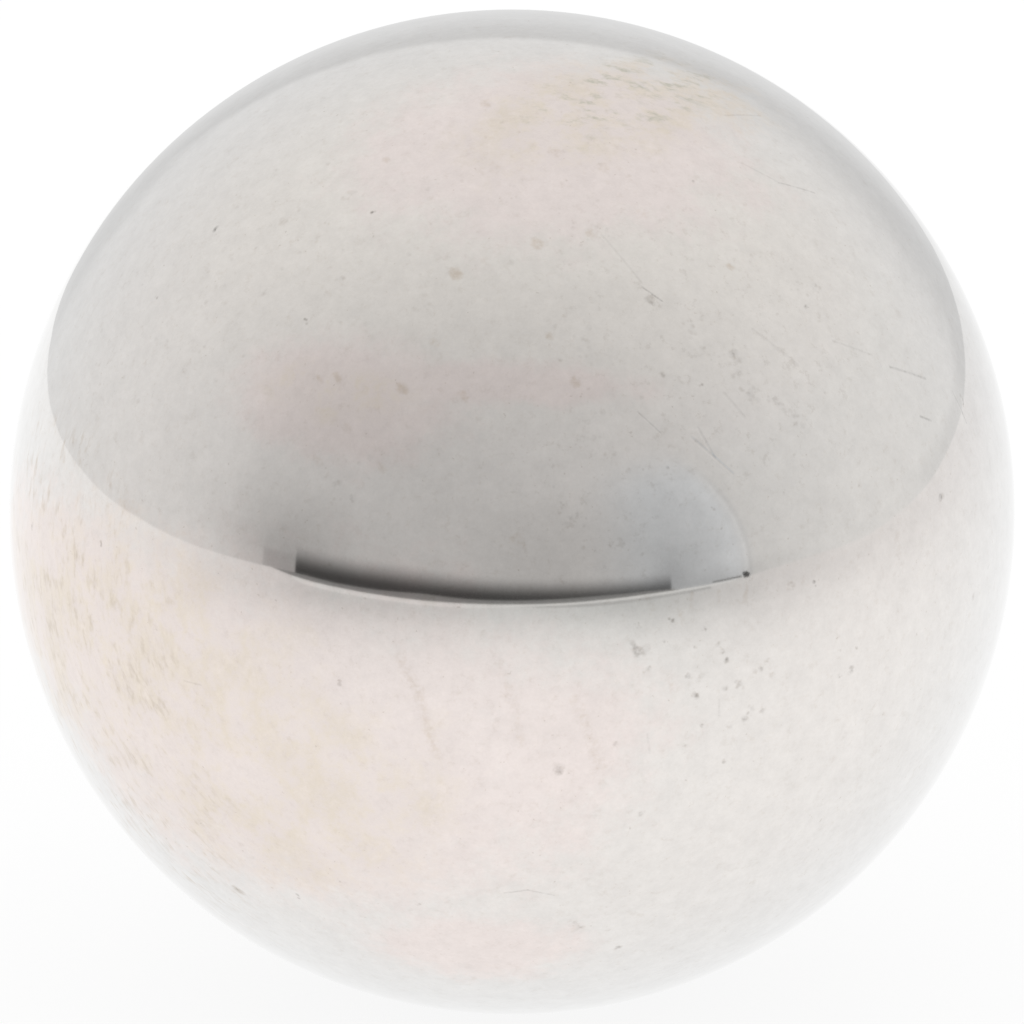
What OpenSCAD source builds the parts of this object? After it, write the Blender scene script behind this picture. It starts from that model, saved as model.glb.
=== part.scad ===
// Steel ball: one solid sphere, ground and lapped to a mirror finish.
// The origin is the ball's centre. Sizes are in millimetres, with +Z up.

/* [Ball] */
// Diameter of the ball
ball_d = 25.4; // [3:0.1:100]

/* [Hidden] */

// Facets round a great circle, which set how smooth the preview looks
$fn = 180;

// The whole object. Lapping leaves no flat, seam or pole, so any axis through
// the centre is an axis of symmetry.
module ball() {
    color("silver")
        sphere(d = ball_d);
}

ball();
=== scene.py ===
import math
import random
import bpy
import numpy as np
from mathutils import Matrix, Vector


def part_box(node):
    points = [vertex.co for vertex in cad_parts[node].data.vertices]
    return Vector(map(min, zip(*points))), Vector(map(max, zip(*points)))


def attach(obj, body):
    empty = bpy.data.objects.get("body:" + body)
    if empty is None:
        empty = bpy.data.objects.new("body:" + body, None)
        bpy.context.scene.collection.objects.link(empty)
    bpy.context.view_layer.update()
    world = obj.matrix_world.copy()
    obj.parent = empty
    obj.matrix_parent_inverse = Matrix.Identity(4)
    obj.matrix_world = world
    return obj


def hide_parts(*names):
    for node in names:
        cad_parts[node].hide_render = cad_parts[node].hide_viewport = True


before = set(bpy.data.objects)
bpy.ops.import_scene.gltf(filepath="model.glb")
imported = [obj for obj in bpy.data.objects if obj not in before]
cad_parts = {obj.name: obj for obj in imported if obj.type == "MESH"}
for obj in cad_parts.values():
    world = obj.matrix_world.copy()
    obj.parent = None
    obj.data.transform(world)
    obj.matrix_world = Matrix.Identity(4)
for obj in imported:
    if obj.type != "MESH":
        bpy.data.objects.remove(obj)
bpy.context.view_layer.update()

# ---- Ball ---------------------------------------------------------------------------------------
# One solid ball of hardened chrome steel, ground and lapped to a mirror. Its worn side is turned to
# the front (-Y): a thin straw and pink tarnish in blotches, small pits, and hair scratches picked up
# among other parts. Lengths in this section are in millimetres.
MM = 0.001
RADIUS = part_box("ball")[1].z / MM
# The tint's painted fade towards the outline, which stands in for the look of metal at grazing angles, is
# centred on this direction.
FRONT_RISE = 17.5  # degrees that the middle of the worn side is turned up, and the camera with it
CELLS = 48  # cells along each side of the six faces of the cube that is blown up into the ball
PARTS = 16  # parts that a cell's side may be split into near a mark
SIDE = CELLS * PARTS
PART_MM = math.pi / 2 * RADIUS / SIDE  # side of the smallest cell


def on_ball(turn, rise):
    """Direction of a place on the ball: degrees round from the front to the right, and up."""
    turn, rise = math.radians(turn), math.radians(rise)
    level = math.cos(rise)
    return np.array([math.sin(turn) * level, -math.cos(turn) * level, math.sin(rise)])


# A mark is (one end, other end, half width, depth, darkness, tarnish). A pit has both ends in one
# place. Darkness is the share of light that it takes away, and tarnish is how brown it is.
marks = []
luck = random.Random(7)
CRATER_DEPTH = 0.008  # share of a crater's half width
SCRATCH_DEPTH = 0.003
DEEPEST = 0.04  # where marks lie over each other, they go no deeper than this
CRATER_TARNISH = 0.3
SCUFF_TARNISH = 0.2
STAIN_DARKNESS = 0.05  # of a stain at full strength


def near(turn, rise, spread):
    """A seeded place within about spread millimetres of a place on the ball."""
    at = on_ball(turn, rise) + np.array([luck.gauss(0, 1) for _ in range(3)]) * spread / RADIUS
    return at / np.linalg.norm(at)


def pit(turn, rise, width, dark, grains=6):
    """A rust pit, which is a cluster of shallow craters inside its width."""
    for _ in range(grains):
        at = near(turn, rise, width * 0.25)
        half = width * luck.uniform(0.25, 0.5)
        tone = dark * luck.uniform(0.2, 0.6)
        marks.append((at, at, half, half * CRATER_DEPTH, tone, CRATER_TARNISH))


def scratch(start, end, width, dark):
    """A hair scratch between two places."""
    marks.append((on_ball(*start), on_ball(*end), width / 2, SCRATCH_DEPTH, dark, 0))


def stain(start, end, width, strength):
    """A brown spot or streak, which has no depth."""
    marks.append((on_ball(*start), on_ball(*end), width / 2, 0, STAIN_DARKNESS * strength, strength))


def scuff(start, end, width, dark, grains):
    """A scuffed trail: faint specks strewn between two places."""
    for _ in range(grains):
        share = luck.random()
        turn, rise = (here + (there - here) * share for here, there in zip(start, end))
        at = near(turn, rise, width / 2)
        half = luck.uniform(0.04, 0.1)
        marks.append((at, at, half, 0, dark * luck.uniform(0.3, 1), SCUFF_TARNISH))


# Pits: turn, rise, width, darkness. The first two are the large star-shaped one at the middle right.
for turn, rise, width, dark in [
    (13.8, 1.7, 0.34, 0.3), (14.7, 1.5, 0.3, 0.24), (14.2, 4.4, 0.13, 0.14), (18.1, 4.6, 0.13, 0.34),
    (22, 3, 0.13, 0.28), (17.1, 2.2, 0.12, 0.12), (20.6, 1.2, 0.1, 0.14), (15.2, -0.8, 0.15, 0.18),
    (19.9, -2.1, 0.16, 0.3), (21.4, -2.3, 0.2, 0.1), (20.8, -4.7, 0.18, 0.22), (26.2, -4, 0.24, 0.22),
    (24.5, -4.2, 0.2, 0.18), (28.7, -2.5, 0.2, 0.2), (29.7, -1.5, 0.16, 0.12), (30.7, -3.4, 0.18, 0.1),
    (24.7, -0.6, 0.2, 0.24), (24.1, 0.2, 0.16, 0.16), (23.6, 1, 0.16, 0.14), (27.2, -8.1, 0.18, 0.2),
    (27.5, -7.6, 0.14, 0.16), (27.9, -7.1, 0.16, 0.14), (29.5, -7.8, 0.18, 0.14), (21.9, -8.3, 0.13, 0.18),
    (25.3, -9, 0.14, 0.16), (19.9, -10.6, 0.12, 0.1), (25, -13.4, 0.14, 0.16), (11.8, -9.6, 0.14, 0.18),
    (5.2, -12.5, 0.26, 0.24), (15.5, -19.2, 0.2, 0.2), (8.5, -36.3, 0.24, 0.12), (9.4, -37.3, 0.24, 0.14),
    (16.3, -42.1, 0.2, 0.3), (41.7, -5.2, 0.18, 0.26), (39.9, -5.3, 0.12, 0.2), (39.7, -2.3, 0.1, 0.2),
    (42.2, -2.6, 0.1, 0.2), (20.7, 40.8, 0.3, 0.24), (31, 33.5, 0.3, 0.2), (33, 6.5, 0.2, 0.12),
    (20, 32, 0.18, 0.16), (-34.3, 49.4, 0.24, 0.1), (-42.1, 48.4, 0.24, 0.1), (-34.1, 47.1, 0.2, 0.09),
    (-26.8, 42.9, 0.2, 0.1), (-32.1, 53.5, 0.28, 0.08),
]:
    pit(turn, rise, width, dark)
# Specks: turn, rise, width, darkness
for turn, rise, width, dark in [
    (-54.9, 44.9, 0.2, 0.65), (-26, 51.7, 0.13, 0.6), (-30.2, 37.2, 0.13, 0.6), (38, 55, 0.14, 0.45),
    (45.5, 36.5, 0.12, 0.45), (-19.5, -3, 0.16, 0.26), (59.5, 11, 0.3, 0.4), (70, 19.5, 0.2, 0.35),
    (-54, 7, 0.15, 0.4), (-71.5, 4, 0.2, 0.35), (-30.5, -34.5, 0.14, 0.4), (-42, -36, 0.3, 0.35),
    (19, 21.5, 0.12, 0.3), (24, 16.5, 0.1, 0.28), (-19, 18, 0.1, 0.3), (33.5, 17, 0.12, 0.25),
    (-12.5, -33, 0.16, 0.2), (-58.3, 35.1, 0.14, 0.3), (25, 30.5, 0.14, 0.25), (36.3, 6.2, 0.15, 0.55),
    (65.5, -2.3, 0.2, 0.2), (69.8, -0.2, 0.15, 0.25),
]:
    pit(turn, rise, width, dark, 3)
# Hair scratches: from, to, width, darkness
for start, end, width, dark in [
    ((47.5, 32), (53.5, 29), 0.07, 0.1), ((56, 27), (62.5, 24), 0.08, 0.2),
    ((63, 62), (74, 59.5), 0.08, 0.1),
    ((52.5, 55.5), (57, 51.5), 0.07, 0.08), ((57, 51.5), (63.5, 48.5), 0.07, 0.14),
    ((35, 35.5), (40, 30.5), 0.14, 0.055), ((22.5, 24.5), (27, 20), 0.12, 0.045),
    ((15.5, 49.5), (20, 43), 0.1, 0.045), ((20, 42.5), (22.5, 40.5), 0.07, 0.22),
    ((16, 28), (18.5, 25.5), 0.07, 0.1), ((28, 29), (30, 26), 0.14, 0.055),
    ((23.5, 25.5), (25, 22), 0.12, 0.045),
    ((58.5, 20.5), (60.5, 19.5), 0.07, 0.22), ((-1, -30.5), (2, -30), 0.06, 0.16),
    ((2, -30), (5.5, -31), 0.06, 0.12), ((68, 21), (69, 17), 0.06, 0.16),
    ((-40, -6), (-37.5, -6), 0.06, 0.08),
    ((23.8, -5.4), (23.9, -7.3), 0.08, 0.07), ((15.4, -8.7), (15.8, -11.1), 0.08, 0.06),
]:
    scratch(start, end, width, dark)
# Scuffed trails, and wide swaths of faint specks: from, to, width, darkness, grains
for start, end, width, dark, grains in [
    ((24.5, 39), (26.5, 34), 0.3, 0.09, 14), ((27, 33.5), (30, 31), 0.3, 0.07, 14),
    ((29.5, 31.5), (32, 27), 0.3, 0.11, 14), ((31, 29.5), (35.5, 26.5), 0.3, 0.09, 14),
    ((36, 26), (38.5, 24), 0.25, 0.08, 14), ((5, 19.5), (11, 14.5), 0.5, 0.12, 14),
    ((7, 39), (9.5, 33), 0.5, 0.1, 14), ((11, 28), (17, 19), 0.8, 0.09, 14),
    ((-22, 19), (-18, 22), 0.5, 0.1, 14), ((45, 40), (49, 38), 0.4, 0.1, 14),
    ((10, 52), (16, 46), 0.7, 0.09, 14), ((-48, 32), (-25, 52), 3, 0.08, 50),
    ((-66, 22), (-50, 42), 2, 0.08, 30), ((-22, 45), (10, 50), 3, 0.06, 40),
    ((-15, 62), (25, 64), 2, 0.06, 30),
]:
    scuff(start, end, width, dark, grains)
# Brown spots, each drawn out a little downwards: turn, rise, width, strength
for turn, rise, width, strength in [
    (-9, 45, 0.4, 1), (4, 49, 0.4, 0.8), (-14.5, 31, 0.35, 0.9), (8, 32, 0.3, 0.8), (-23.5, 31.5, 0.3, 0.7),
    (-6.5, 30.5, 0.35, 0.7), (0.5, 14.5, 0.4, 0.5), (-9, 70.5, 0.35, 0.6), (35.5, 43.5, 0.22, 0.9),
    (5, 37.5, 0.25, 0.6), (-11, 36.5, 0.3, 0.5), (-29, 59.5, 0.25, 0.5), (-9.5, 7.5, 0.5, 0.4),
    (13.5, 50, 0.35, 0.5), (9, -37, 0.4, 0.3), (-26, 31, 0.25, 0.6), (-21, 26, 0.3, 0.4),
    (-16, 22, 0.3, 0.5), (-24, 22, 0.3, 0.4), (10, 62, 0.4, 0.5), (-4, 60, 0.3, 0.4), (20, 59, 0.4, 0.5),
    (-42, -36, 0.4, 0.8), (24, 52, 0.3, 0.4),
]:
    stain((turn, rise), (turn + 0.4, rise - 0.3), width, strength)
# Brown streaks that run down the middle and the right: places passed, width, strength
for places, width, strength in [
    (((-12.5, 0.5), (-10.5, -3), (-9.5, -7.5), (-8.5, -11)), 0.4, 0.4),
    (((-1.5, 0.5), (0, -3.5), (1, -9)), 0.35, 0.3),
    (((7, -4), (8.5, -7.5), (10, -12.5)), 0.45, 0.3),
    (((27.3, 7.2), (26.9, 5.6)), 0.2, 0.5), (((20.6, 7.4), (20.5, 6)), 0.16, 0.4),
    (((23.8, 7.2), (23.7, 6)), 0.18, 0.3),
    (((19, 5.5), (19.5, 4)), 0.22, 0.35), (((15, 7.5), (16, 6)), 0.22, 0.3),
    (((18, -3), (18.4, -5)), 0.16, 0.3),
]:
    for start, end in zip(places, places[1:]):
        stain(start, end, width, strength)


def nearest(mark, directions):
    """Unit direction of the point of a mark that is nearest to each direction."""
    start, end = mark[0], mark[1]
    along = end - start
    length_squared = float(along @ along)
    if length_squared == 0:
        return np.broadcast_to(start, directions.shape)
    share = np.clip((directions - start) @ along / length_squared, 0, 1)
    point = start + share[:, None] * along
    return point / np.linalg.norm(point, axis=1, keepdims=True)


def from_cube(points):
    """Direction of integer points on the surface of the cube, evened out so that cells are alike."""
    warped = np.tan(math.pi / 4 * points / SIDE)
    return warped / np.linalg.norm(warped, axis=1, keepdims=True)


# The cube's six faces, each as its directions out, across and up
SQUARES = []
for axis in range(3):
    for sign in (1, -1):
        out, across = np.zeros(3, int), np.zeros(3, int)
        out[axis], across[(axis + 1) % 3] = sign, 1
        SQUARES.append((out, across, np.cross(out, across)))


def lattice(square, i, j):
    """Integer points on the faces of the cube: which face, how far across it and how far up."""
    out, across, up = (np.array([face[k] for face in SQUARES])[square] for k in range(3))
    return out * SIDE + across * (2 * i - SIDE)[:, None] + up * (2 * j - SIDE)[:, None]


# Cells are split in four wherever a mark needs finer ones, which is where they reach into its margin.
MARGIN = 1.1  # half widths of the mark
REACH = 0.75  # sides of the cell, which is a little more than from its middle to its corners
FINENESS = 0.4  # the side that cells in a mark need to have, in half widths of the mark
square, i, j = (grid.ravel() for grid in np.meshgrid(range(6), range(CELLS), range(CELLS), indexing="ij"))
i, j = i * PARTS, j * PARTS
cells, size = [], PARTS
while len(i):
    middle = from_cube(lattice(square, i + size / 2, j + size / 2))
    wanted = np.full(len(i), math.inf)
    for mark in marks:
        apart = np.linalg.norm(middle - nearest(mark, middle), axis=1) * RADIUS
        close = apart < mark[2] * MARGIN + size * PART_MM * REACH
        wanted[close] = np.minimum(wanted[close], mark[2] * FINENESS)
    split = (wanted < size * PART_MM) & (size > 1)
    cells += [(*cell, size) for cell in zip(square[~split], i[~split], j[~split])]
    square, i, j = square[split], i[split], j[split]
    size //= 2
    square = np.tile(square, 4)
    i = np.concatenate([i, i + size, i, i + size])
    j = np.concatenate([j, j, j + size, j + size])

# Each corner has one whole number for its place on the cube, by which cells find the corners that
# they share. A cell's loop takes in the corners that finer neighbours leave on its edges. In the map
# for baking, each face of the cube is a square with a gap round it.
UV_GAP = 0.01
UV_ROOM = 1 - 2 * UV_GAP
stride = 2 * SIDE + 1
weights = np.array([stride * stride, stride, 1])
cell_face, cell_left, cell_bottom, cell_side = np.array(cells).T
number, places, corner_codes = {}, [], []
for di, dj in ((0, 0), (1, 0), (1, 1), (0, 1)):
    spots = lattice(cell_face, cell_left + di * cell_side, cell_bottom + dj * cell_side)
    corner_codes.append(spots @ weights)
    for code, spot in zip(corner_codes[-1], spots):
        if code not in number:
            number[code] = len(number)
            places.append(spot)
across_code = [int(across @ weights) * 2 for out, across, up in SQUARES]
up_code = [int(up @ weights) * 2 for out, across, up in SQUARES]
loops, uvs = [], []
for k, (face, left, bottom, width) in enumerate(cells):
    ring = []
    code, x, y = corner_codes[0][k], left, bottom
    for dx, dy in ((1, 0), (0, 1), (-1, 0), (0, -1)):
        step = dx * across_code[face] + dy * up_code[face]
        for _ in range(width):
            if code in number:
                ring.append(number[code])
                u = (face % 3 + UV_GAP + UV_ROOM * x / SIDE) / 3
                v = (face // 3 + UV_GAP + UV_ROOM * y / SIDE) / 2
                uvs.append((u, v))
            code, x, y = code + step, x + dx, y + dy
    loops.append(ring)

# Depth of the marks at each corner, with the slope of the surface worked out from the same formula
direction = from_cube(np.array(places, float))
depth, dark, brown = (np.zeros(len(direction)) for _ in range(3))
slope = np.zeros_like(direction)
for start, end, half, deep, tone, tarnish in marks:
    away = direction - nearest((start, end), direction)
    apart = np.linalg.norm(away, axis=1) * RADIUS
    inside = apart < half
    share = (apart[inside] / half) ** 2
    depth[inside] += deep * (1 - share) ** 2
    slope[inside] += away[inside] * RADIUS * (-4 * deep / half ** 2 * (1 - share))[:, None]
    dark[inside] = 1 - (1 - dark[inside]) * (1 - tone * (1 - share))
    brown[inside] = np.maximum(brown[inside], tarnish * (1 - share))
depth = np.minimum(depth, DEEPEST)
normal = direction + slope - direction * np.sum(slope * direction, axis=1, keepdims=True)
normal /= np.linalg.norm(normal, axis=1, keepdims=True)
mesh = bpy.data.meshes.new("ball")
mesh.from_pydata((direction * (RADIUS - depth)[:, None] * MM).tolist(), [], loops)
mesh.shade_smooth()
mesh.normals_split_custom_set_from_vertices(normal.tolist())
layer = mesh.uv_layers.new(name="OFBake")
layer.data.foreach_set("uv", np.array(uvs).ravel())


def oval(turn, rise, wide, tall):
    """How far each corner is inside an oval: 1 in its middle, 0 on its edge, and down to -1 outside."""
    middle, right = on_ball(turn, rise), on_ball(turn + 90, 0)
    towards = direction @ middle
    ahead = np.maximum(towards, 0.05)  # kept off zero, where a place is far outside any oval
    across = direction @ right / ahead / math.tan(math.radians(wide))
    along = direction @ np.cross(right, middle) / ahead / math.tan(math.radians(tall))
    return np.where(towards > 0, np.maximum(1 - np.hypot(across, along), -1), -1)


# Where the tarnish and the wear lie, as ovals: turn, rise, and half width and half height in degrees
zones = {
    "warm": [(5, 58, 40, 26)],
    "pink": [(12, 64, 23, 14), (-22, 29, 13, 7), (-3, 32, 17, 2.5), (-28, -12, 40, 22), (5, -10, 9, 9),
             (-6, -42, 12, 7), (-60, -3, 26, 13)],
    "straw": [(-52, -6, 26, 15), (-32, -17, 22, 14), (-22, 30, 8, 3), (38, 69, 20, 8)],
    "streaks": [(-70, -16, 30, 34)],
    "flecks": [(45, 70.5, 14, 6)],
    "worn": [(32, 33, 14, 16), (24, 40, 12, 10), (10, 18, 12, 9)],
}
values = {"dark": dark, "brown": brown}
for name, ovals in zones.items():
    values[name] = np.max([oval(*sizes) for sizes in ovals], axis=0)
for name, value in values.items():
    mesh.attributes.new(name, "FLOAT", "POINT").data.foreach_set("value", value)
# Streaks run in rings round the front. Along a ring, lengths are shortened so that a noise is drawn out.
DRAWN_OUT = 3  # how many times as long as wide
pole, right = on_ball(0, 10), on_ball(90, 0)
off_pole = np.arccos(np.clip(direction @ pole, -1, 1))
round_pole = np.arctan2(direction @ np.cross(right, pole), -direction @ right)
rings = np.column_stack([off_pole, round_pole / DRAWN_OUT, np.zeros(len(direction))]) * RADIUS
mesh.attributes.new("rings", "FLOAT_VECTOR", "POINT").data.foreach_set("vector", rings.ravel())
ball = bpy.data.objects.new("ball_polished", mesh)
bpy.context.collection.objects.link(ball)


class Wire:
    """A shader node's output that takes part in Python expressions."""

    def __init__(self, tree, socket=None):
        self.tree, self.socket = tree, socket

    def node(self, kind, settings, links, out=0):
        """A new node: its settings, then its inputs by name or number, then which output to use."""
        made = self.tree.nodes.new(kind)
        for name, value in settings.items():
            setattr(made, name, value)
        for name, value in links.items():
            named = [s for s in made.inputs if s.enabled and s.name == name]
            target = made.inputs[name] if isinstance(name, int) else named[0]
            if isinstance(value, Wire):
                self.tree.links.new(value.socket, target)
            else:
                target.default_value = value
        outs = [s for s in made.outputs if s.enabled] or [None]
        return Wire(self.tree, outs[out] if isinstance(out, int) else made.outputs[out])

    def math(self, operation, *values):
        return self.node("ShaderNodeMath", {"operation": operation}, dict(enumerate(values)))

    def __add__(self, other):
        return self.math("ADD", self, other)

    def __radd__(self, other):
        return self.math("ADD", other, self)

    def __sub__(self, other):
        return self.math("SUBTRACT", self, other)

    def __rsub__(self, other):
        return self.math("SUBTRACT", other, self)

    def __mul__(self, other):
        return self.math("MULTIPLY", self, other)

    def __rmul__(self, other):
        return self.math("MULTIPLY", other, self)

    def rising(self, start, end):
        """0 before start, 1 after end, smooth between."""
        links = {"Value": self, "From Min": start, "From Max": end}
        return self.node("ShaderNodeMapRange", {"interpolation_type": "SMOOTHSTEP"}, links)

    def mix(self, here, there):
        """The colour here where the wire is 0 and the colour there where it is 1."""
        links = {"Factor": self, "A": here, "B": there}
        return self.node("ShaderNodeMix", {"data_type": "RGBA", "clamp_factor": True}, links)

    def scaled(self, by):
        links = {"Vector": self, "Scale": by}
        return self.node("ShaderNodeVectorMath", {"operation": "SCALE"}, links)

    def dot(self, direction):
        links = {0: self, 1: tuple(float(v) for v in direction)}
        return self.node("ShaderNodeVectorMath", {"operation": "DOT_PRODUCT"}, links, "Value")

    def stretched(self, way, times):
        """This position with everything drawn out along a way, so that a noise over it runs in streaks."""
        way = Vector(way).normalized()
        links = {"Vector": way, "Scale": self.dot(way) * (1 - 1 / times)}
        along = self.node("ShaderNodeVectorMath", {"operation": "SCALE"}, links)
        return self.node("ShaderNodeVectorMath", {"operation": "SUBTRACT"}, {0: self, 1: along})

    def noise(self, scale, detail, rough):
        """Even noise about 0.5 over this position. Scale is in cycles per unit of the position."""
        links = {"Vector": self, "Scale": scale, "Detail": detail, "Roughness": rough}
        return self.node("ShaderNodeTexNoise", {}, links)


def material(name):
    """An empty material, and a wire to start its nodes from."""
    made = bpy.data.materials.new(name)
    made.use_nodes = True
    made.node_tree.nodes.clear()
    made.cycles.emission_sampling = "NONE"
    return made, Wire(made.node_tree)


# Colours of the clean steel, which also stands in for the look of steel at grazing angles as a
# painted reflection, and of each kind of tarnish on it
CLEAN_AND_GRAZING_STEEL = (0.793, 0.792, 0.788, 1)
AGED_STEEL = (0.822, 0.788, 0.758, 1)
WARM_STEEL = (0.826, 0.788, 0.744, 1)
PINK_FILM = (0.845, 0.765, 0.735, 1)
STRAW_FILM = (0.785, 0.705, 0.617, 1)
BROWN_STREAK = (0.6, 0.525, 0.445, 1)
OLIVE_FLECK = (0.58, 0.56, 0.48, 1)
RUST = (0.66, 0.54, 0.42, 1)
LAPPED = 0.045  # roughness of the mirror finish
steel, begin = material("polished_steel")
place = begin.node("ShaderNodeTexCoord", {}, {}, "Object").scaled(1 / MM)
facing = place.scaled(1 / RADIUS)


def attribute(name, out="Fac"):
    """A value that the ball's mesh holds at its corners."""
    return begin.node("ShaderNodeAttribute", {"attribute_name": name}, {}, out)


def zone(name, ragged, soft):
    """1 inside the zone and 0 outside. The edge wanders by ragged and fades over soft."""
    return (attribute(name) + (edges - 0.5) * ragged).rising(-soft, soft)


# Noises of several grains, from wide clouds to the finest grit
mottle = place.noise(1.5, 4, 0.88)
edges = place.noise(0.7, 4, 0.85)
clouds = place.noise(0.75, 4, 0.75)
flakes = place.stretched((0, 0, 1), 1.6).noise(3, 3, 0.7)
grit = place.noise(8, 1, 0.7)
slanting = (0.85, 0.2, -0.5)
# Tarnish, from a warm upper half through a faint pink film to straw
# The warm tint of the worn side is tarnish. Its fade to clean steel towards the outline is a painted
# reflection: centred on the camera's direction, it stands in for the cooler look of metal at grazing
# angles.
front = facing.dot(on_ball(0, FRONT_RISE)).rising(0.05, 0.75)
colour = front.mix(CLEAN_AND_GRAZING_STEEL, zone("warm", 0.5, 0.6).mix(AGED_STEEL, WARM_STEEL))
colour = (zone("pink", 1.4, 0.35) * 0.97).mix(colour, PINK_FILM)
straw = zone("straw", 1.4, 0.4) * (0.1 + 0.9 * clouds.rising(0.41, 0.6))
straw = straw * (0.6 + 0.5 * flakes.rising(0.3, 0.7))
colour = (straw * 0.95).mix(colour, STRAW_FILM)
# Brown streaks at the left and olive flecks in the upper right
streaks = attribute("rings", "Vector").noise(4.4, 2, 0.62).rising(0.46, 0.73)
streaks = streaks * (0.15 + clouds.rising(0.42, 0.6)) * zone("streaks", 1.2, 0.35)
colour = (streaks * 0.62).mix(colour, BROWN_STREAK)
flecks = place.stretched(slanting, 2).noise(3.4, 3, 0.65).rising(0.47, 0.76)
flecks = flecks * zone("flecks", 1.3, 0.5) * (0.3 + clouds.rising(0.4, 0.55))
colour = (flecks * 0.9).mix(colour, OLIVE_FLECK)
# Brown spots, with ragged edges, and faint freckles all over
freckles = place.noise(3.6, 3, 0.72).rising(0.52, 0.82)
spots = (attribute("brown") * 1.2 + (grit - 0.5) * 1.3).rising(0, 1.5)
colour = (spots * 0.5 + freckles * 0.12).mix(colour, RUST)
# What darkens the steel: marks, scuffs, specks, and the fine grain of lapped and handled metal
marked = attribute("dark") * (0.6 + 0.7 * grit.rising(0.34, 0.64))
scuffs = (freckles + flakes).rising(0.6, 1.1) * zone("worn", 1.6, 0.5)
keep = (1 - marked) * (1 - 0.05 * scuffs) * (1 - 0.12 * grit.rising(0.75, 0.8))
keep = keep * (0.87 + 0.26 * mottle) * (1 - 0.05 * freckles)
colour = begin.node("ShaderNodeMix", {"data_type": "RGBA", "blend_type": "MULTIPLY"},
                    {"Factor": 1.0, "A": colour, "B": keep})
rough = LAPPED + 0.02 * straw + 0.1 * marked
links = {"Metallic": 1.0, "Base Color": colour, "Roughness": rough}
shader = begin.node("ShaderNodeBsdfPrincipled", {}, links)
begin.node("ShaderNodeOutputMaterial", {}, {"Surface": shader})
mesh.materials.append(steel)
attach(ball, "root")
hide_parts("ball")


# ---- Floor --------------------------------------------------------------------------------------
# A plain white floor that the ball stands on and casts its soft shadow on. Stage lengths are in
# ball radii from here on.
UNIT = RADIUS * MM
FLOOR_REACH = 90
FLOOR_GLOW = 1.01
FLOOR_MATT = 0.2  # share of the floor's look that is matt card, which is what takes the shadow


def sheet(name, corners, height, shade):
    """A flat sheet of the stage, from its corners, its height and its material."""
    flat = bpy.data.meshes.new(name)
    flat.from_pydata([(x * UNIT, y * UNIT, height * UNIT) for x, y in corners], [], [range(len(corners))])
    made = bpy.data.objects.new(name, flat)
    bpy.context.collection.objects.link(made)
    flat.materials.append(shade)
    return made


white, begin = material("white_floor")
glow = begin.node("ShaderNodeEmission", {}, {"Color": (FLOOR_GLOW, FLOOR_GLOW, FLOOR_GLOW, 1)})
matt = begin.node("ShaderNodeBsdfDiffuse", {}, {"Color": (1, 1, 1, 1)})
both = begin.node("ShaderNodeMixShader", {}, {0: FLOOR_MATT, 1: glow, 2: matt})
begin.node("ShaderNodeOutputMaterial", {}, {"Surface": both})
corners = [(FLOOR_REACH * x, FLOOR_REACH * y) for x, y in ((-1, -1), (1, -1), (1, 1), (-1, 1))]
floor = sheet("floor", corners, -1, white)
floor.visible_glossy = False

# ---- Card of the light tent ---------------------------------------------------------------------
# The sheet of white card inside a light tent, as the ball mirrors it. It is lit evenly all round and
# grows greyer towards the front, away from the lamps. Its front edge is nearly straight, and at the
# sides and behind it meets the tent's cloth in a wavy line.


def only_mirrored(thing):
    """Hide a thing of the stage from all but the ball's reflections."""
    for ray in ("camera", "diffuse", "transmission", "volume_scatter", "shadow"):
        setattr(thing, "visible_" + ray, False)


def glowing(name, points, light):
    """Closed rows of points that glow with the colour at each, and show only in reflections."""
    rows, count = light.shape[:2]
    faces = []
    for row in range(0, (rows - 1) * count, count):
        for here in range(count):
            there = (here + 1) % count
            faces.append((row + here, row + there, row + count + there, row + count + here))
    net = bpy.data.meshes.new(name)
    net.from_pydata((points.reshape(-1, 3) * UNIT).tolist(), [], faces)
    net.attributes.new("light", "FLOAT_COLOR", "POINT").data.foreach_set("color", light.ravel())
    made = bpy.data.objects.new(name, net)
    bpy.context.collection.objects.link(made)
    shade, begin = material(name)
    colour = begin.node("ShaderNodeAttribute", {"attribute_name": "light"}, {}, "Color")
    glow = begin.node("ShaderNodeEmission", {}, {"Color": colour})
    begin.node("ShaderNodeOutputMaterial", {}, {"Surface": glow})
    net.materials.append(shade)
    only_mirrored(made)


lip = [(-46, -32), (-27.5, -23), (-20.7, -20.7), (-11.6, -20), (-7.1, -19.5), (0, -19.8), (3.8, -19.7),
       (7.5, -20.3), (11.8, -20.5), (15, -19.3)]
corner = [(17.2, -17.2), (19, -15.2)]
sides = [(23, -14), (24.5, -11.5), (25, -8), (21, -2), (24, 3), (25.5, 8), (29.5, 16.5), (26.5, 21),
         (21, 23), (14, 20.5), (8, 15.8), (4.2, 12), (-2.5, 7.5), (-5, 9.5), (-8, 10.6), (-12.5, 11.5),
         (-16, 11.2), (-21, 10), (-25, 6.5), (-32, 1), (-33, -4.5), (-35, -9.5), (-41, -18.5)]
EDGE_PARTS = 8  # parts that each stretch of the outline is split into
ROWS = 50  # rings of points from the outline in to the ball's foot
INNERMOST = 0.0005  # size of the smallest ring, as a share of the outline
outline = np.array(lip + corner + sides, float)
steps = np.arange(0, 1, 1 / EDGE_PARTS)[None, :, None]
outline = (outline[:, None] + (np.roll(outline, -1, axis=0) - outline)[:, None] * steps).reshape(-1, 2)
points = outline * np.geomspace(INNERMOST, 1, ROWS)[:, None, None]
points = np.dstack([points, np.full(points.shape[:2], -1.0)])
heading = np.degrees(np.arctan2(points[..., 0], -points[..., 1]))
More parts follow.
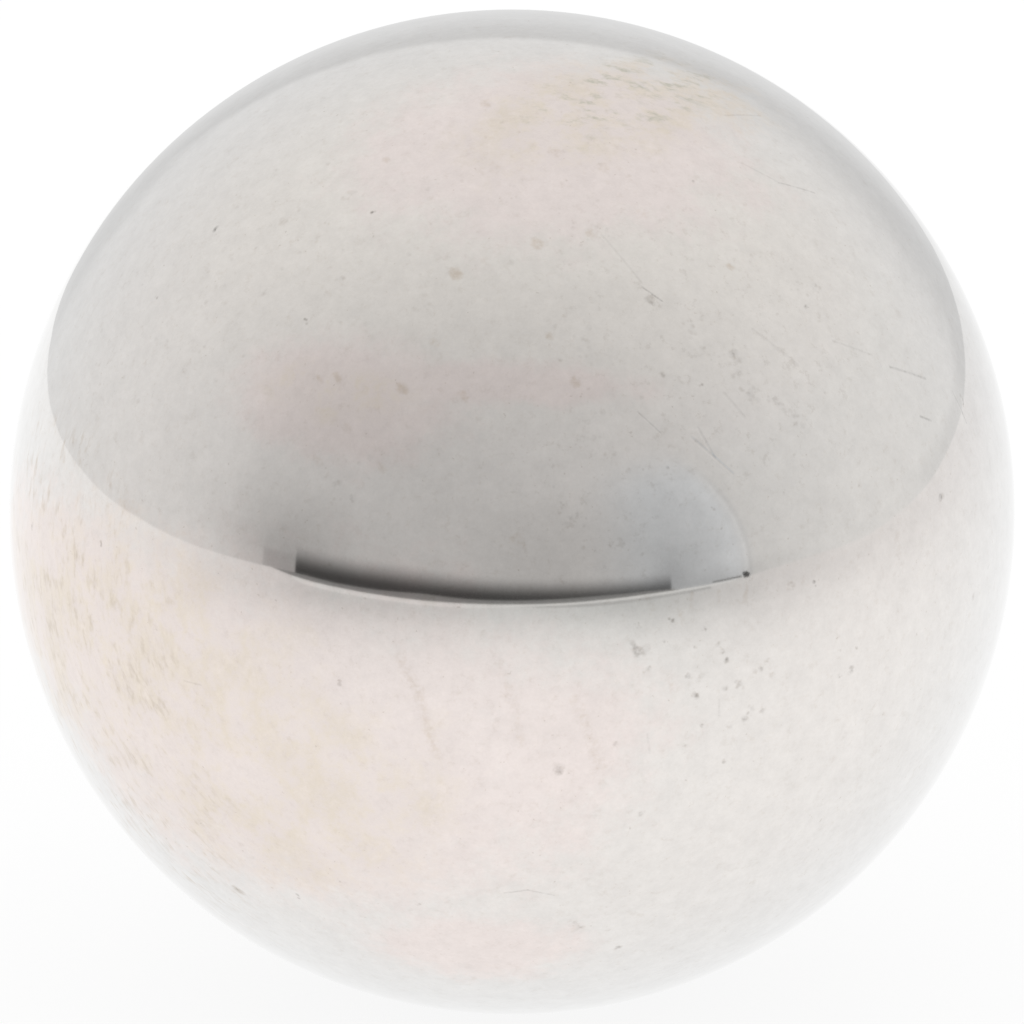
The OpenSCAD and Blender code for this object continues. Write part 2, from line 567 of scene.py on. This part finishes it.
# How light the card is far out, by degrees round from the front to the right
FAR_LIGHT = [
    (-180, 1), (-150, 1.05), (-120, 0.97), (-100, 0.955), (-80, 0.89), (-60, 0.735), (-50, 0.69),
    (-45, 0.63), (-32, 0.635), (-15, 0.65), (0, 0.67), (14, 0.65), (26, 0.58), (40, 0.61), (52, 0.65),
    (60, 0.7), (80, 0.82), (120, 0.88), (150, 0.9), (180, 0.96),
]
# How much less red its light is far out, by the same degrees
FAR_COOLNESS = [(-60, 0), (-30, 0.03), (30, 0.03), (60, -0.012), (120, -0.012), (160, 0)]
NEAR_LIGHT = 1.03
FADE = 7.4  # how far out the light of the middle reaches
FOOT_SHADE = 0.07  # how much of its light the card loses right under the ball
FOOT = 1.3
away_squared = points[..., 0] ** 2 + points[..., 1] ** 2
share = 1 - np.exp(-away_squared / FADE ** 2)
light = NEAR_LIGHT + (np.interp(heading, *zip(*FAR_LIGHT)) - NEAR_LIGHT) * share
light = light * (1 - FOOT_SHADE * np.exp(-away_squared / FOOT ** 2))
cool = share * np.interp(heading, *zip(*FAR_COOLNESS))
light = np.dstack([light * (1 - cool), light, light, np.ones_like(light)])
glowing("card", points, light)

# ---- Front edge of the card ---------------------------------------------------------------------
# The card's front edge is rolled over and catches more light. Towards its right end a thin line of
# painted shade runs behind it, and beyond it is the dull edge of the table, with a dark peg and the
# end of a cord. In the ball they show as thin lines: flat sheets that each glow with one grey.
rolled = [(16.9, -14.1), (14.6, -15.1), (12.6, -16.2), (9.8, -16.9), (6.3, -17.3), (3, -17.2), (0, -17),
          (-2.7, -15.2), (-5.5, -15), (-8.7, -15), (-12.1, -14.4), (-16, -15), (-21, -18)]
# Inner side of the line of painted shade behind the rolled edge
shade_line = [(13, -13.3), (10.7, -13.7), (8.3, -14.4), (5.2, -14.3), (2.7, -15.3), (1.1, -16.5)]
beyond = [(15.8, -23.5), (15.5, -26.8), (10.6, -29.1), (4.9, -27.6), (0, -26.5), (-4.9, -28), (-13.5, -37),
          (-17.7, -30.7), (-26, -31), (-40, -37.5), (-46, -36)]
peg = [(18.2, -14), (22.9, -17.6), (31, -23.8), (31.4, -23.1), (23.4, -16.9), (18.5, -13.6)]
cord = [(18.2, -18.2), (20, -15.6), (23, -18), (20.8, -20.8)]
COOL = 0.98  # share of red in the light on these edges
for name, corners, height, grey in [
    ("rolled_edge", lip[1:] + corner + rolled, -0.995, 0.75),
    # Painted shade: a thin dark line behind the rolled edge, as a strip that glows grey
    ("shade_line", rolled[1:7] + shade_line[::-1], -0.99, 0.47),
    ("table_edge", lip + beyond, -1, 0.22),
    ("cord", cord, -0.985, 0.2),
    ("peg", peg, -0.98, 0.06),
]:
    shade, begin = material(name)
    glow = begin.node("ShaderNodeEmission", {}, {"Color": (grey * COOL, grey, grey, 1)})
    begin.node("ShaderNodeOutputMaterial", {}, {"Surface": glow})
    only_mirrored(sheet(name, corners, height, shade))

# ---- Light tent ---------------------------------------------------------------------------------
# A tent of thin white cloth lit from outside, which only reflections see. It is darker towards the
# camera, where there is a gap between curtain and table, and it has a round opening behind. Its
# light is worked out at the corners of its mesh, in degrees round from the front and up.
TENT_REACH = 100
GAP_LEFT, GAP_RIGHT = -49.6, 35.8
GAP_TILT = 0.037  # degrees that the gap's top comes down for each degree to the right
GAP_LIGHT = 0.055
OPENING_LIGHT = 0.79
SEAM_TURN = 54  # where the door's seam stands at the level of the ball
SEAM_BEND = 0.02
JUMPS = (-58, -57.6, -49.8, -49.4, 35.6, 36)  # both sides of each place where the light jumps
turns = np.unique(np.concatenate([np.arange(-180, 180, 1.5), np.arange(44, 57, 0.25), JUMPS]))
rises = np.concatenate([np.arange(-90, -12, 6), np.arange(-12, 6, 0.5), np.arange(6, 30, 1),
                        np.arange(30, 91, 4)])
turn, rise = np.meshgrid(turns, rises)
x = np.sin(np.radians(turn)) * np.cos(np.radians(rise))
y = -np.cos(np.radians(turn)) * np.cos(np.radians(rise))
z = np.sin(np.radians(rise))


def ramp(value, start, end):
    """0 before start, 1 after end, smooth between. Start may be the greater, for a fall."""
    share = np.clip((value - start) / (end - start), 0, 1)
    return share * share * (3 - 2 * share)


def bump(value, width):
    """1 at 0, falling off on both sides."""
    return np.exp(-(value / width) ** 2)


def degrees_from(turn, rise):
    """Angle of each corner from a direction."""
    return np.degrees(np.arccos(np.clip(np.dstack([x, y, z]) @ on_ball(turn, rise), -1, 1)))


# The cloth is darkest at the front, a little to the left and down. Then come the shade on the left
# wall, over the gap's right part and above the front, and a light patch high up behind.
to_front = -0.13 * x - y - 0.08 * z
FRONT_SHADE = [(-0.6, 0.85), (-0.1, 0.815), (0.3, 0.725), (0.55, 0.645), (0.75, 0.605), (1, 0.555)]
light = np.interp(to_front, *zip(*FRONT_SHADE))
light -= 0.14 * bump(turn + 50, 15) * ramp(rise, 21, 3)
light -= 0.08 * ramp(turn, -18, 12) * ramp(turn, 62, 32) * ramp(rise, 26, 8)
light -= 0.035 * ramp(turn, -72, -58) * ramp(turn, 20, -20) * ramp(rise, 48, 26)
light += 0.035 * ramp(degrees_from(180, 70), 52, 15)
# The hem along the floor is in shade at the right and catches some light at the left
light -= 0.07 * ramp(turn, 98, 116) * ramp(turn, 152, 138) * ramp(rise, 2, -1)
light -= 0.1 * bump(turn - 51, 9) * ramp(rise, 2, -2.5)
light += 0.035 * ramp(rise, 3, 0) * ramp(turn, -95, -80) * ramp(turn, -56, -58)
# The round opening behind, darkest at its edge, and soft folds of the cloth at both its sides
behind = ramp(degrees_from(178, 3), 22.5, 19)
inside = OPENING_LIGHT - 0.075 * ramp(degrees_from(178, -3), 8, 24)
light -= 0.15 * ramp(degrees_from(157, 3), 27, 4)
light -= 0.1 * ramp(degrees_from(197, -1), 15, 4)
light += behind * (inside - light)
# At the left of the gap hangs a loose end of the curtain, and at its right is shade
end = ramp(turn, -58, -57.6) * ramp(turn, -49.4, -49.8)
light *= 1 - end * (0.08 * ramp(rise, 9, 0) + 0.1 * ramp(rise, 2.8, 2.2))
light -= 0.11 * bump(turn - 36, np.where(turn < 36, 4.5, 7)) * ramp(rise, 11, 0)
# Beyond it is a door with a bright seam, a glow at the seam's left and a dark line at its right
seam = SEAM_TURN - SEAM_BEND * rise ** 2 - turn
low = ramp(rise, 22, 17)
light += low * (0.05 * bump(seam, 0.4) + 0.045 * bump(seam - 3, 2.5) - 0.05 * bump(seam + 1.1, 0.5))
# The gap is darkest at the table and fades out upwards
top = 3.2 + bump(turn + 25, 15)
gap = 1 - ramp(rise + GAP_TILT * turn, -2.5, top) ** 1.3
gap = gap * (turn > GAP_LEFT) * (turn < GAP_RIGHT)
light += gap * (GAP_LIGHT - light)
# Daylight from the right makes the cloth bluer as far as the seam, and a little cooler beyond it
blue = ramp(turn, 14, 34) * ramp(rise, 30, 18)
cool = 0.045 * blue * ramp(seam, -3, 3) + 0.01 * blue * ramp(seam, 3, -3) * ramp(turn, 150, 110)
blue = 0.04 * blue * ramp(seam, -3, 3)
light = np.dstack([light * (1 - cool), light, light * (1 + blue), np.ones_like(light)])
glowing("light_tent", np.dstack([x, y, z]) * TENT_REACH, light)

# ---- Lights and camera --------------------------------------------------------------------------
# Plain white surroundings give soft light from every side. A camera with a long lens looks a little
# down on the ball, which nearly fills its picture.
BALL_SHARE = 0.982  # share of the picture's width that the ball fills
world = bpy.data.worlds.new("studio")
bpy.context.scene.world = world
world.use_nodes = True
world.cycles.sampling_method = "NONE"
world.node_tree.nodes["Background"].inputs["Color"].default_value = (1, 1, 1, 1)
world.node_tree.nodes["Background"].inputs["Strength"].default_value = 1.0
lens = bpy.data.cameras.new("camera")
lens.lens = 600
lens.sensor_width = 36
lens.clip_start = 0.01
lens.clip_end = 10
camera = bpy.data.objects.new("camera", lens)
bpy.context.collection.objects.link(camera)
away = 1 / math.sin(math.atan(BALL_SHARE * lens.sensor_width / 2 / lens.lens))
camera.location = Vector(on_ball(0, FRONT_RISE)) * away * UNIT
camera.rotation_euler = (math.radians(90 - FRONT_RISE), 0, 0)
bpy.context.scene.camera = camera
bpy.context.scene.view_settings.view_transform = "Standard"
